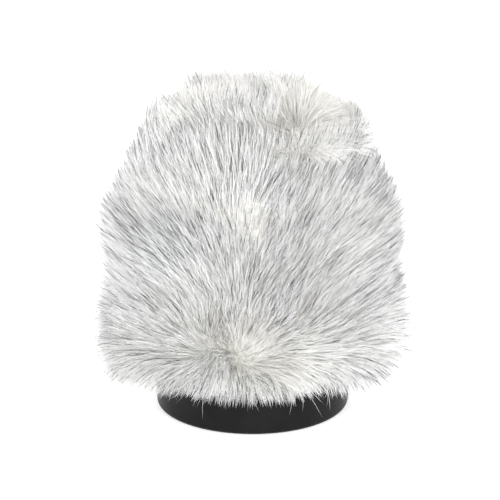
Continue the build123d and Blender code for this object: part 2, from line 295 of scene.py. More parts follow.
screwSteel = makeSteel()
openFoam = makeFoam()
knitBacking = makeKnit("knit backing", {
    "wales": 190, "courses": 66, "dark": colour(0.34, 0.33, 0.31), "light": colour(0.62, 0.61, 0.58)})
bindingCloth = makeKnit("binding cloth", {
    "wales": 260, "courses": 9, "dark": colour(0.012), "light": colour(0.035, 0.035, 0.037)})
elasticCloth = makeKnit("elastic webbing", {"wales": 130, "courses": 5, "dark": colour(0.5), "light": colour(0.74)})
whiteThread = makeThread()

furFinish = {
    "lanes": 64,  # tone lanes across the map; each strand keeps to one
    "darkShare": 0.16,  # the first lanes are the hairs with dark tips
    "darkFrom": 0.42, "darkTo": 0.56,  # where along the hair its dark tip comes in
    "greyAbove": 0.92,  # of the other lanes, those whose chance is above this end in grey
    "warm": colour(0.87, 0.857, 0.81), "plain": colour(0.94, 0.94, 0.935), "cool": colour(0.91, 0.925, 0.935),
    # the root colour is painted shade, for the shade deep in the pile
    "paintedRootShade": colour(0.88, 0.865, 0.83), "faintest": 0.88,
    "darkTip": colour(0.012, 0.012, 0.014), "greyTip": colour(0.4, 0.4, 0.41), "paleTip": colour(0.8, 0.8, 0.81)}


def makeFur():
    # each hair reads its tone from its lane across the map, and its painted root shade and its tip from the place along
    # it
    made, net, wire = newMaterial("combed fur", {"Roughness": 0.65, "Specular IOR Level": 0.12})
    across, along, _ = net.parted(net.term("ShaderNodeUVMap", {"uv_map": "OFBake"}, {}, "UV"))
    lane = net.maths("FLOOR", across * furFinish["lanes"])

    def laneChance(shift):
        return net.term("ShaderNodeTexWhiteNoise", {"noise_dimensions": "1D"}, {"W": lane + shift}, "Value")

    level, ending = laneChance(0.37), laneChance(91.7)
    place = lane / furFinish["lanes"]
    tone = rampTerm(net, place, (0.18, furFinish["warm"]), (0.45, furFinish["plain"]),
                    (0.7, furFinish["plain"]), (1.0, furFinish["cool"]))
    light = net.tinted(tone, greyRamp(net, level, (0.0, furFinish["faintest"]), (1.0, 1.0)))
    # painted shade: towards the root the colour is darkened and warmed, standing in for the shade deep in the pile
    rootShaded = net.mixed(greyRamp(net, along, (0.0, 0.6), (0.3, 0.0)), light, net.tinted(light, furFinish["paintedRootShade"]))
    tipped = net.mixed(greyRamp(net, along, (0.7, 0.0), (1.0, 0.85)), rootShaded, furFinish["paleTip"])
    greyed = (ending > furFinish["greyAbove"]) * greyRamp(net, along, (0.72, 0.0), (0.95, 1.0))
    tipped = net.mixed(greyed, tipped, furFinish["greyTip"])
    burnt = greyRamp(net, along, (furFinish["darkFrom"], 0.0), (furFinish["darkTo"], 1.0))
    wire("Base Color", net.mixed((place < furFinish["darkShare"]) * burnt, tipped, furFinish["darkTip"]))
    return made


underfurFinish = {
    "woolScale": 900.0, "patchScale": 60.0, "depth": 0.6 * mm, "hollowShade": 0.7,
    "warm": colour(0.8, 0.78, 0.71), "plain": colour(0.82, 0.82, 0.8)}


def makeUnderfur():
    # the dense short wool that closes the pile between the long hairs; its hollows are painted darker as shade
    made, net, wire = newMaterial("underfur", {"Roughness": 0.9, "Specular IOR Level": 0.15, "Sheen Weight": 0.3})
    place = objectPlace(net)
    wool = noiseTerm(net, place * (1.0, 1.0, 0.4), underfurFinish["woolScale"], 4.0, 0.7)
    patch = noiseTerm(net, place, underfurFinish["patchScale"], 3.0)
    tint = rampTerm(net, patch, (0.35, underfurFinish["warm"]), (0.65, underfurFinish["plain"]))
    # painted shade: the wool's streaks darken it where its bump is lowest, as shade in its hollows
    wire("Base Color", net.tinted(tint, greyRamp(net, wool, (0.3, underfurFinish["hollowShade"]), (0.6, 1.0))))
    wire("Normal", bumpTerm(net, wool, 0.8, underfurFinish["depth"]))
    return made


combedFur, underfur = makeFur(), makeUnderfur()
print("stage: finishes made")


# helpers for the pieces

def boxOf(node, corner, axis):
    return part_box(node)[corner][axis]


def newMesh(name, points, faces):
    mesh = bpy.data.meshes.new(name)
    mesh.from_pydata(points, [], faces)
    return mesh


def addObject(name, mesh, material=None):
    made = bpy.data.objects.new(name, mesh)
    scene.collection.objects.link(made)
    if material:
        mesh.materials.clear()
        mesh.materials.append(material)
    return made


def settle(piece, body, nodes=()):
    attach(piece, body)
    if nodes:
        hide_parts(*nodes)
    return piece


def addWeave(mesh, places):
    # the map that the cloth is read along
    layer = mesh.uv_layers.new(name="weave")
    layer.uv.foreach_set("vector", np.array(places, np.float32).ravel())


def turnedMesh(name, outline, segments, shift=None, weave=False):
    # a closed outline of (radius, height) turned round +Z; shift moves each point
    onAxis = 1e-7  # a row nearer the axis than this becomes one point
    points, rows = [], []
    for radius, height in outline:
        if radius < onAxis:
            rows.append([len(points)] * segments)
            points.append((0.0, 0.0, height))
            continue
        rows.append(list(range(len(points), len(points) + segments)))
        for k in range(segments):
            turn = math.tau * k / segments
            points.append((radius * math.sin(turn), -radius * math.cos(turn), height))
    faces, places = [], []
    count = len(outline)
    for i in range(count):
        low, high = rows[i], rows[(i + 1) % count]
        if low[0] == low[-1] and high[0] == high[-1]:
            continue
        for k in range(segments):
            n = (k + 1) % segments
            kept = {}  # the face's points, each once, with its place on the map
            for point, u, v in ((low[k], k, 0), (low[n], k + 1, 0), (high[n], k + 1, 1), (high[k], k, 1)):
                kept.setdefault(point, (u / segments, (i + v) / count))
            faces.append(list(kept))
            places.extend(kept.values())
    mesh = newMesh(name, points, faces)
    if weave:
        addWeave(mesh, places)
    work = bmesh.new()
    work.from_mesh(mesh)
    bmesh.ops.recalc_face_normals(work, faces=work.faces)
    work.to_mesh(mesh)
    work.free()
    if shift:
        mesh.vertices.foreach_set("co", np.array([shift(v.co) for v in mesh.vertices], np.float32).ravel())
    mesh.shade_smooth()
    mesh.update()
    return mesh


def stepped(corners, step):
    # the straight runs between the corners, cut into pieces of about one step
    made = []
    for (r0, z0), (r1, z1) in zip(corners, corners[1:]):
        count = max(1, round(math.hypot(r1 - r0, z1 - z0) / step))
        made += [(r0 + (r1 - r0) * k / count, z0 + (z1 - z0) * k / count) for k in range(count)]
    return made + [corners[-1]]


def closed(outline, step):
    # the outline with the run back to its start
    return outline + stepped([outline[-1], outline[0]], step)[1:-1]


def arc(centreR, centreZ, radius, first, last, count):
    turns = [math.radians(first + (last - first) * k / count) for k in range(count + 1)]
    return [(centreR + radius * math.cos(turn), centreZ + radius * math.sin(turn)) for turn in turns]


# fur

furShape = {
    "outer": boxOf("side_fur_pile", 1, 0), "top": boxOf("crown_fur_pile", 1, 2), "backing": boxOf("side_backing", 1, 0),
    "seam": boxOf("crown_backing", 0, 2), "lid": boxOf("crown_backing", 1, 2),
    "skin": 46.5 * mm, "lowest": 23.6 * mm, "hemSkin": 43.0 * mm, "lowerRound": 44.0 * mm,
    "roundEnd": 0.32, "straightEnd": 0.72, "crownShare": 37.0,  # shares of the way up, and degrees of the shoulder
    "crownSwell": 3.8 * mm, "crownDip": 1.6 * mm, "columns": 160, "rows": 60}
furShape["centre"] = furShape["top"] - furShape["outer"]

hair = {
    "reach": 20.6 * mm, "hemReach": 9.5 * mm, "sideHemReach": 21.5 * mm, "crownReach": 15.5 * mm, "crownBase": 0.92,
    "lowestSpread": 3.0 * mm, "lockSpread": 0.16, "clumpSpread": 0.14, "hairSpread": 0.16, "tipWander": 1.7,
    "clumpRootPull": 0.3, "hairRootPull": 0.45, "pullLeast": 0.55, "pullMost": 1.25,
    "thinnest": 0.7, "thickest": 1.3, "toneChance": 0.3, "mostLocks": 40000.0, "mostClumps": 400000.0}

comb = {
    "driftSteps": [(1.37, 6.21, 4.88), (7.43, 0.59, 2.62), (3.81, 9.26, 5.14)],
    "coarse": (45.0, 0.5), "fine": (110.0, 0.3),  # scale and strength of the wobble
    "patchWide": 15.0 * mm, "patchTall": 12.0 * mm, "patchHeight": 36.0 * mm,
    "burst": 32.0 * mm,  # height that the hair fans out from
    "riseFront": 9.0 * mm, "fall": 7.0 * mm,  # how far above and below it the hair turns upright
    "fan": 1.2, "fanEven": 0.6, "fanFront": 0.4, "fanLow": 0.25, "frontSweep": 0.3, "frontTurn": 0.2, "hemLift": 0.15,
    "tousle": 0.6, "patchTousle": 1.1, "burstTousle": 0.7, "burstBand": 14.0 * mm, "burstLift": 3.0 * mm,
    "whorls": [(-17.5 * mm, 40.0 * mm, 0.7), (15.0 * mm, 43.0 * mm, -0.6)],  # across, height and spin
    "whorlWidth": 9.0 * mm, "whorlTurn": 5.0 * mm, "whorlOpen": 0.28,
    "parting": (19.5 * mm, 117.0 * mm), "partingWidth": 8.0 * mm, "partingTurn": 6.0 * mm, "partingOpen": 1.6,
    "crownLean": 0.9, "crownWild": 1.7,
    "rootStand": 0.9, "rootLow": 0.45, "tipStand": 0.45, "tipLow": 0.75, "shoulderFlat": 0.42, "calm": 0.3,
    "uneven": 0.22, "unevenScale": 60.0, "tone": 0.48, "toneSpread": 0.42, "toneScale": 38.0, "patchTone": 0.4}

# amounts that come in between two values, as amount, from and to: turns in radians from the front, heights, or
# shares of the way from the hem at 0 by the parting at 1 to the top at 2
blend = {
    "burstDrop": (3.0 * mm, 0.3, 1.0), "riseBeside": (16.0 * mm, 0.8, 1.6), "beside": (1.0, 0.5, 1.1),
    "behind": (0.5, 1.7, 2.4), "fanRise": (0.75, 26.0 * mm, 45.0 * mm), "high": (1.0, 26.0 * mm, 52.0 * mm),
    "shoulder": (1.0, 0.58, 0.94), "pastShoulder": (1.0, 1.15, 1.6), "topStand": (0.4, 1.3, 1.8),
    "droop": (0.55, 0.5, 1.0), "droopEnd": (1.0, 24.0 * mm, 40.0 * mm),
    "hemGrowth": (1.0, 0.05, 0.2), "lowTrim": (0.1, 0.08, 0.22), "lowTrimEnd": (1.0, 0.4, 0.6),
    "highTrim": (0.3, 0.62, 0.8), "highTrimEnd": (0.7, 0.9, 1.0),
    "crownGrowth": (0.18, 1.03, 1.15), "topTrim": (0.16, 1.35, 1.7), "crownTone": (0.2, 0.95, 1.1)}


def smooth(low, high, value):
    part = min(1.0, max(0.0, (value - low) / (high - low)))
    return part * part * (3 - 2 * part)


def eased(key, value):
    amount, low, high = blend[key]
    return amount * smooth(low, high, value)


def bell(distance, width):
    return math.exp(-(distance / width) ** 2)


def skinAt(share):
    # the layer that the hairs start from: radius and height
    centre, skin, lowest, lowerRound = [furShape[key] for key in ("centre", "skin", "lowest", "lowerRound")]
    roundEnd, straightEnd, shoulder = furShape["roundEnd"], furShape["straightEnd"], furShape["crownShare"]
    if share <= roundEnd:
        part = share / roundEnd
        return skin - (skin - furShape["hemSkin"]) * (1 - part) ** 2, lowest + (lowerRound - lowest) * part
    if share <= straightEnd:
        part = (share - roundEnd) / (straightEnd - roundEnd)
        return skin, lowerRound + (centre - lowerRound) * part
    if share <= 1:
        turn = shoulder * (share - straightEnd) / (1 - straightEnd)
    else:
        turn = shoulder + (90 - shoulder) * (share - 1)
    angle = math.radians(turn)
    radius = skin + furShape["crownSwell"] * math.sin(2 * angle) ** 2 - furShape["crownDip"] * math.sin(angle) ** 4
    return radius * math.cos(angle), centre + radius * math.sin(angle)


def frontPatch(place):
    # the tousled patch low on the front, where the two whorls meet
    if place.y > 0:
        return 0.0
    return bell(place.x, comb["patchWide"]) * bell(place.z - comb["patchHeight"], comb["patchTall"])


def drift(place):
    # three plain noises make a steady vector; noise_vector gives other values each time Blender starts
    return Vector([noise.noise(place + Vector(step)) for step in comb["driftSteps"]])


def sideFlow(place, upward, sideways, turn, wobble):
    # fanned out from a low point at the front, falling over the hem, turned round the whorls
    far = abs(turn)
    burst = comb["burst"] - eased("burstDrop", far)
    rise = comb["riseFront"] + eased("riseBeside", far) if place.z > burst else comb["fall"]
    climb = max(-1.0, min(1.0, (place.z - burst) / rise))
    # beside the front the hem hair stands out more than it hangs
    climb = max(climb, -1 + comb["hemLift"] * eased("beside", far))
    fan = comb["fan"] * math.sin(turn) * (comb["fanEven"] + comb["fanFront"] * math.cos(turn))
    fan = fan * (comb["fanLow"] + eased("fanRise", place.z)) + comb["frontSweep"] * bell(turn, comb["frontTurn"])
    nearBurst = 1 - smooth(0.0, comb["burstBand"], abs(place.z - burst - comb["burstLift"]))
    tousle = comb["tousle"] + comb["patchTousle"] * frontPatch(place) + comb["burstTousle"] * nearBurst
    flat = upward * (climb + tousle * wobble.z) + sideways * (fan + tousle * wobble.x)
    for side, height, spin in comb["whorls"]:
        off = Vector((place.x - side, place.z - height))
        near = bell(off.length, comb["whorlWidth"]) / comb["whorlTurn"] if place.y < 0 else 0.0
        flat += (sideways * off.y - upward * off.x) * near * spin
        flat += (sideways * off.x + upward * off.y) * near * comb["whorlOpen"]
    return flat


def crownFlow(place, normal, wobble):
    # wild tufts that lean outwards and back, opened round the parting
    skin, parting = furShape["skin"], comb["parting"]
    wild = Vector((place.x / skin * comb["crownLean"], 0.5 + 0.3 * place.y / skin, 0.8)) + wobble * comb["crownWild"]
    if place.y < 0:
        off = Vector((place.x - parting[0], 0.0, place.z - parting[1]))
        wild += off * (bell(off.length, comb["partingWidth"]) * comb["partingOpen"] / comb["partingTurn"])
    return wild - normal * wild.dot(normal)


def combFor(place, normal, upward, sideways, turn, share):
    # which way the hair points at its root and at its tip
    (coarse, coarseStrength), (fine, fineStrength) = comb["coarse"], comb["fine"]
    wobble = drift(place * coarse) * coarseStrength + drift(place * fine) * fineStrength
    side = share <= 1.0
    flat = sideFlow(place, upward, sideways, turn, wobble) if side else crownFlow(place, normal, wobble)
    size = min(1.0, flat.length)
    flat = flat.normalized() * size
    low = 1 - eased("high", place.z) - frontPatch(place)
    edge = eased("shoulder", share) * (1 - eased("pastShoulder", share))  # flatter over the shoulder
    raised = comb["calm"] * (1 - size) + eased("topStand", share) - comb["shoulderFlat"] * edge
    droop = eased("droop", abs(turn)) * (1 - eased("droopEnd", place.z)) if side else 0.0
    rootDir = normal * (comb["rootStand"] + comb["rootLow"] * low + raised) + flat
    tipDir = normal * (comb["tipStand"] + (comb["tipLow"] - droop) * low + raised) + flat - upward * droop
    return rootDir.normalized(), tipDir.normalized()


def reachFor(place, turn, share):
    # how long the hair is: short at the front hem, longer beside it, shorter on the crown
    if share > 1:
        base = hair["crownReach"] * (hair["crownBase"] + eased("crownGrowth", share) - eased("topTrim", share))
    else:
        beside = eased("beside", abs(turn)) * (1 - eased("behind", abs(turn)))
        hem = hair["hemReach"] + (hair["sideHemReach"] - hair["hemReach"]) * beside
        base = hem + (hair["reach"] - hem) * eased("hemGrowth", share)
    base *= 1 - eased("lowTrim", share) * (1 - eased("lowTrimEnd", share))
    base *= 1 - eased("highTrim", share) * (1 - eased("highTrimEnd", share))
    return base * (1 + comb["uneven"] * noise.noise(place * comb["unevenScale"] + Vector((0, 9, 0))))


def toneFor(place, share):
    spread = comb["toneSpread"] * noise.noise(place * comb["toneScale"] + Vector((3, 0, 5)))
    return comb["tone"] + spread - eased("crownTone", share) - comb["patchTone"] * frontPatch(place)


def makeSkin(name, first, last):
    # a band of the layer that the hairs start from, with the combing stored at its points
    rows = int(furShape["rows"] * (last - first)) + 2
    columns = furShape["columns"]
    points, roots, tips, reaches, tones = [], [], [], [], []
    for i in range(rows):
        share = first + (last - first) * i / (rows - 1)
        radius, height = skinAt(share)
        lower, upper = skinAt(max(0.0, share - 0.01)), skinAt(min(2.0, share + 0.01))
        rise = Vector((upper[0] - lower[0], upper[1] - lower[1])).normalized()
        for k in range(columns):
            turn = math.tau * k / columns
            outward = Vector((math.sin(turn), -math.cos(turn), 0))
            sideways = Vector((math.cos(turn), math.sin(turn), 0))
            place = outward * radius + Vector((0, 0, height))
            upward = outward * rise[0] + Vector((0, 0, rise[1]))
            normal = outward * rise[1] - Vector((0, 0, rise[0]))
            signed = turn if turn <= math.pi else turn - math.tau
            rootDir, tipDir = combFor(place, normal, upward, sideways, signed, share)
            points.append(place)
            roots.append(rootDir)
            tips.append(tipDir)
            reaches.append(reachFor(place, signed, share))
            tones.append(toneFor(place, share))
    faces = []
    for low in range(0, (rows - 1) * columns, columns):
        high = low + columns
        faces += [(low + k, low + (k + 1) % columns, high + (k + 1) % columns, high + k) for k in range(columns)]
    mesh = newMesh(name, points, faces)
    for key, values in (("rootDir", roots), ("tipDir", tips)):
        layer = mesh.attributes.new(key, "FLOAT_VECTOR", "POINT")
        layer.data.foreach_set("vector", np.array(values, np.float32).ravel())
    for key, values in (("reach", reaches), ("tint", tones)):
        layer = mesh.attributes.new(key, "FLOAT", "POINT")
        layer.data.foreach_set("value", np.array(values, np.float32))
    return mesh


strandShape = {
    "rings": [(0.0, 0.85), (0.42, 1.0), (0.8, 0.72)],  # place along the hair, and thickness there
    "laneU": (0.22, 0.5, 0.78), "laneV": (0.02, 0.96)}


def makeStrand():
    # one hair as a closed three-sided spike; its place comes from the tree, so only its numbering counts
    rings, (startV, spanV) = strandShape["rings"], strandShape["laneV"]
    rows = []  # along, around, thick, laneU and laneV of each point
    for along, thick in rings:
        for k in range(3):
            nudge = startV if along == 0 and k == 1 else 0.0  # keeps the root's own face from being a line on the map
            rows.append((along, math.tau * k / 3, thick, strandShape["laneU"][k], startV + spanV * along + nudge))
    rows.append((1.0, 0.0, 0.0, strandShape["laneU"][1], startV + spanV))
    faces = [(2, 1, 0)]
    last = (len(rings) - 1) * 3
    for low in range(0, last, 3):
        faces += [(low + k, low + (k + 1) % 3, low + 3 + (k + 1) % 3, low + 3 + k) for k in range(3)]
    faces += [(last + k, last + (k + 1) % 3, last + 3) for k in range(3)]
    points = [(math.cos(around) * thick, math.sin(around) * thick, along) for along, around, thick, *_ in rows]
    mesh = newMesh("strand", points, faces)
    for key, values in zip(("along", "around", "thick", "laneU", "laneV"), zip(*rows)):
        mesh.attributes.new(key, "FLOAT", "POINT").data.foreach_set("value", np.array(values, np.float32))
    return addObject("strand", mesh)


def furTree():
    # locks, clumps and hairs are scattered over the skin; each bends towards the one above it in that order
    tree, net, given = newTree("combed fur", {
        "Geometry": ["Skin"], "Object": ["Strand"], "Material": ["Finish"], "Int": ["Seed"],
        "Float": ["Density", "Clump spacing", "Lock spacing", "Clump pull", "Lock pull", "Clump wander", "Lock wander",
                  "Hair wander", "Girth", "Reach", "Lowest tip", "Dark share", "From", "To"]}, "Fur")

    def named(key, kind="FLOAT"):
        return net.geometry("InputNamedAttribute", {"Name": key}, "Attribute", data_type=kind)

    def namedVector(key):
        return named(key, "FLOAT_VECTOR")

    def chance(low, high, seed):
        return net.term("FunctionNodeRandomValue", {"data_type": "FLOAT"}, {2: low, 3: high, "Seed": seed}, 1)

    def anyWay(seed):
        sockets = {0: (-1.0,) * 3, 1: (1.0,) * 3, "Seed": seed}
        return net.term("FunctionNodeRandomValue", {"data_type": "FLOAT_VECTOR"}, sockets, 0)

    def unit(vector):
        return net.vectorMaths("NORMALIZE", vector)

    def store(geometry, key, value, kind="FLOAT", domain="POINT"):
        sockets = {"Geometry": geometry, "Name": key, "Value": value}
        return net.geometry("StoreNamedAttribute", sockets, data_type=kind, domain=domain)

    def storeVector(geometry, key, value):
        return store(geometry, key, value, "FLOAT_VECTOR")

    def scattered(method, sockets):
        return net.geometry("DistributePointsOnFaces", {"Mesh": given("Skin"), **sockets}, distribute_method=method)

    def pathed(points, wander, seed, spread, parents=None, pull=0, rootPull=0):
        # each point gets the middle and tip of its path, drawn towards the nearest parent's
        place = net.geometry("InputPosition")
        sway = anyWay(seed)
        size = named("reach") * chance(1 - spread, 1 + spread, seed + 1) * given("Reach")
        middle = place + unit(namedVector("rootDir") + sway * wander) * size * 0.5
        tip = middle + unit(namedVector("tipDir") + sway * wander * hair["tipWander"]) * size * 0.5
        if parents:
            nearest = net.geometry("SampleNearest", {"Geometry": parents}, domain="POINT")

            def parent(key):
                sockets = {"Geometry": parents, "Value": namedVector(key), "Index": nearest}
                return net.geometry("SampleIndex", sockets, data_type="FLOAT_VECTOR", domain="POINT")

            share = pull * chance(hair["pullLeast"], hair["pullMost"], seed + 2)
            middle = middle + (parent("middle") - middle) * (share * rootPull)
            tip = tip + (parent("tip") - tip) * share
        return storeVector(storeVector(points, "tip", tip), "middle", middle)

    locks = scattered("POISSON", {"Distance Min": given("Lock spacing"), "Density Max": hair["mostLocks"], "Seed": 11})
    locks = pathed(locks, given("Lock wander"), 21, hair["lockSpread"])
    clumps = scattered("POISSON", {"Distance Min": given("Clump spacing"), "Density Max": hair["mostClumps"], "Seed": 12})
    clumps = pathed(clumps, given("Clump wander"), 31, hair["clumpSpread"],
                    locks, given("Lock pull"), hair["clumpRootPull"])
    hairs = scattered("RANDOM", {"Density": given("Density"), "Seed": given("Seed")})
    x, y, _ = net.parted(net.geometry("InputPosition"))
    azimuth = net.maths("ARCTAN2", x, y * -1.0)
    outside = net.maths("MAXIMUM", azimuth < given("From"), azimuth > given("To"))
    hairs = pathed(hairs, given("Hair wander"), 41, hair["hairSpread"],
                   clumps, given("Clump pull"), hair["hairRootPull"])
    floorTip = net.joined(-1.0, -1.0, given("Lowest tip") + chance(0.0, hair["lowestSpread"], 55))
    hairs = storeVector(hairs, "tip", net.vectorMaths("MAXIMUM", namedVector("tip"), floorTip))
    hairs = storeVector(hairs, "start", net.geometry("InputPosition"))
    # the lane across the map: the first lanes for dark hairs, the others by tone
    isDark = chance(0.0, 1.0, 51) < given("Dark share") * (named("tint") * 1.5)
    lanes = furFinish["lanes"]
    darkLanes = math.floor(furFinish["darkShare"] * lanes)
    toneChance = chance(-hair["toneChance"], hair["toneChance"], 52)
    tone = net.maths("MINIMUM", net.maths("MAXIMUM", named("tint") + toneChance, 0.0), 0.999)
    plainLane = tone * (lanes - darkLanes - 1) + (darkLanes + 1)
    lane = net.maths("FLOOR", net.mixed(isDark, plainLane, chance(0.0, darkLanes - 0.01, 53), "FLOAT"))
    hairs = store(hairs, "lane", lane)
    hairs = store(hairs, "girth", given("Girth") * chance(hair["thinnest"], hair["thickest"], 54))
    hairs = net.geometry("DeleteGeometry", {"Geometry": hairs, "Selection": outside}, domain="POINT")
    strand = net.geometry("ObjectInfo", {"Object": given("Strand")}, "Geometry")
    fur = net.geometry("InstanceOnPoints", {"Points": hairs, "Instance": strand})
    fur = net.geometry("RealizeInstances", {"Geometry": fur})
    # the strand's points move to a curve through start, middle and tip
    v = named("along")
    first, second, third = namedVector("start"), namedVector("middle"), namedVector("tip")
    rest = 1.0 - v
    path = first * (rest * rest) + second * (v * rest * 2.0) + third * (v * v)
    heading = unit((second - first) * rest + (third - second) * v)
    outward = unit(first * (1.0, 1.0, 0.0) + (0.0, 0.0, 13.0 * mm))  # away from the axis, and a little up
    side = unit(net.vectorMaths("CROSS_PRODUCT", heading, outward))
    depth = net.vectorMaths("CROSS_PRODUCT", heading, side)
    around = named("around")
    ring = side * net.maths("COSINE", around) + depth * net.maths("SINE", around)
    place = path + ring * (named("girth") * named("thick"))
    fur = net.geometry("SetPosition", {"Geometry": fur, "Position": place})
    mapPlace = net.joined((named("lane") + named("laneU")) / lanes, named("laneV"), 0.0)
    fur = store(fur, "OFBake", mapPlace, "FLOAT2", "CORNER")
    fur = net.geometry("SetMaterial", {"Geometry": fur, "Material": given("Finish")})
    net.node("NodeGroupOutput", {}, {"Fur": fur})
    return tree


def grown(name, tree, mesh, values):
    # runs a tree on a mesh and keeps the result as a plain mesh
    holder = addObject(name, mesh)
    modifier = holder.modifiers.new("grow", "NODES")
    modifier.node_group = tree
    for item in tree.interface.items_tree:
        if item.in_out == "INPUT" and item.name in values:
            modifier[item.identifier] = values[item.name]
    holder.update_tag()
    result = bpy.data.meshes.new_from_object(holder.evaluated_get(bpy.context.evaluated_depsgraph_get()))
    holder.modifiers.remove(modifier)
    holder.data = result
    for layer in [a.name for a in result.attributes if a.domain == "POINT" and a.name != "position"]:
        result.attributes.remove(result.attributes[layer])
    result.shade_smooth()
    return holder


def growCoat(label, skin, values, nodes=(), sectors=1, half=math.pi):
    # one kind of hair, in pieces that share the turn from the front to half on each side
    for k in range(sectors):
        low = -half + 2 * half * k / sectors
        name = f"{label}_{k + 1}"
        sizes = {"Strand": strand, "Finish": combedFur, "From": low, "To": low + 2 * half / sectors, **coat, **values}
        piece = settle(grown(name, fur, skin, sizes), "fur_cover", nodes)
        print("stage:", name, len(piece.data.vertices) // 10, "hairs")


strand, fur = makeStrand(), furTree()
sideSkin, crownSkin = makeSkin("side skin", 0.0, 1.0), makeSkin("crown skin", 1.0, 1.985)
# the tree's inputs for the plain coat, and what the other kinds of hair change in them
coat = {
    "Density": 2.95e6, "Seed": 1, "Girth": 0.085 * mm, "Reach": 1.0, "Lowest tip": 12.8 * mm, "Dark share": 0.06,
    "Clump spacing": 2.3 * mm, "Lock spacing": 11.0 * mm, "Clump pull": 0.22, "Lock pull": 0.36,
    "Clump wander": 0.22, "Lock wander": 0.3, "Hair wander": 0.2}
crownCoat = {"Hair wander": 0.2, "Lock wander": 0.4}
guard = {"Density": 0.22e6, "Seed": 5, "Girth": 0.095 * mm, "Reach": 1.17, "Dark share": 1.0, "Clump pull": 0.3}
crownGuard = {**guard, "Density": 0.12e6, "Lock wander": 0.4, "Hair wander": 0.3}
hemFur = {
    "Density": 1.3e6, "Seed": 7, "Girth": 0.09 * mm, "Dark share": 0.25, "Clump spacing": 3.0 * mm, "Clump pull": 0.5}
stray = {
    "Density": 9.0e4, "Seed": 9, "Girth": 0.065 * mm, "Reach": 1.7, "Lowest tip": 4.0 * mm,
    "Dark share": 0.3, "Hair wander": 0.45, "Clump pull": 0.1}

growCoat("side_fur", sideSkin, {}, ["side_fur_pile", "hem_fur_pile"], 8)
growCoat("crown_fur", crownSkin, crownCoat, ["crown_fur_pile"], 3)
growCoat("side_guard_hairs", sideSkin, guard)
growCoat("crown_guard_hairs", crownSkin, crownGuard)
growCoat("hem_fur", makeSkin("hem skin", 0.0, 0.34), hemFur, ["hem_fur_pile"])
growCoat("stray_hairs", makeSkin("stray skin", 0.02, 0.12), stray, half=0.7)
bpy.data.objects.remove(strand)

wool = {
    "gap": 0.4 * mm, "step": 4.0 * mm, "segments": 150, "sideLumps": 1.2 * mm, "crownLumps": 1.4 * mm,
    "sideStart": 27.0 * mm, "rows": 50, "sideLift": 1.6, "sideSwell": 3.0, "crownLift": 1.0 * mm,
    "shoulder": 39.6 * mm, "rim": (39.2 * mm, 1.5 * mm),  # radius, and for the rim its height over the seam
    "lining": [(26.0 * mm, 0.0), (33.5 * mm, 3.0 * mm), (37.5 * mm, 8.0 * mm)],  # radius, and drop below the lid
    "smoothInside": 40.0 * mm, "smoothBelow": 118.5 * mm, "coarse": 130.0, "fine": 330.0}


def lumpy(amount):
    # lumps on the outside of the wool; its inner wall stays smooth
    def shift(place):
        if Vector((place.x, place.y, 0.0)).length < wool["smoothInside"] and place.z < wool["smoothBelow"]:
            return place
        away = (place - Vector((0, 0, min(place.z, furShape["centre"])))).normalized()
        lump = noise.noise(place * wool["coarse"]) + 0.5 * noise.noise(place * wool["fine"]) - 0.2
        return place + away * amount * lump
    return shift


def makeUnderfurs():
    # the wool between the backing and the hairs' skin, for the side and for the crown
    step, segments, seam = wool["step"], wool["segments"], furShape["seam"]
    inner, start, last = furShape["backing"] + wool["gap"] + 1.0 * mm, wool["sideStart"], wool["rows"] - 1
    outer = []
    for k in range(wool["rows"]):
        radius, height = skinAt((2 + 2 * k) / 100)
        swell = smooth(0.04, 0.25, k / last) * (1 - smooth(0.8, 1.0, k / last))
        if height > start - 0.1 * mm:
            outer.append((radius + (wool["sideLift"] + wool["sideSwell"] * swell) * mm, height))
    outline = stepped([(inner, start), (inner, seam)], step)
    outline += [(wool["shoulder"], outer[-1][1] - 1.0 * mm)] + outer[::-1]
    side = turnedMesh("side_underfur", outline, segments, lumpy(wool["sideLumps"]))
    settle(addObject("side_underfur", side, underfur), "fur_cover", ["side_fur_pile"])
    lid = furShape["lid"] + wool["gap"]
    lining = [(0.0, lid)] + [(radius, lid - drop) for radius, drop in wool["lining"]]
    lining.append((wool["rim"][0], seam + wool["rim"][1]))
    dome = [skinAt(1 + k / 50) for k in range(1, 51)]
    outline = stepped(lining, step) + [(radius, height + wool["crownLift"]) for radius, height in dome]
    outline[-1] = (0.0, outline[-1][1])
    crown = turnedMesh("crown_underfur", outline, segments, lumpy(wool["crownLumps"]))
    settle(addObject("crown_underfur", crown, underfur), "fur_cover", ["crown_fur_pile"])


makeUnderfurs()
print("stage: fur grown")


# foam

foamShape = {
    "cell": 1.1 * mm, "depth": 0.16 * mm, "swell": 90.0, "segments": 240, "smallSegments": 120, "step": 1.0 * mm,
    "edge": 11.0 * mm, "gap": 0.3 * mm, "joint": 0.1 * mm, "bevel": 0.3 * mm, "footBevel": 0.6 * mm,
    "baseBore": 21.8 * mm, "baseStep": 1.2 * mm, "noseEdge": 1.0 * mm, "fill": 1.0}


def roughened(mesh, amount, cell):
    # pushes the surface in where an open cell is cut, and swells it a little between
    normals = [v.normal.copy() for v in mesh.vertices]
    for v, normal in zip(mesh.vertices, normals):
        near = noise.voronoi(v.co / cell)[0][0]
        swell = amount * 1.5 * noise.noise(v.co * foamShape["swell"])
        v.co += normal * (amount * (min(near, 0.9) - 0.55) + swell)
    mesh.update()
    return mesh


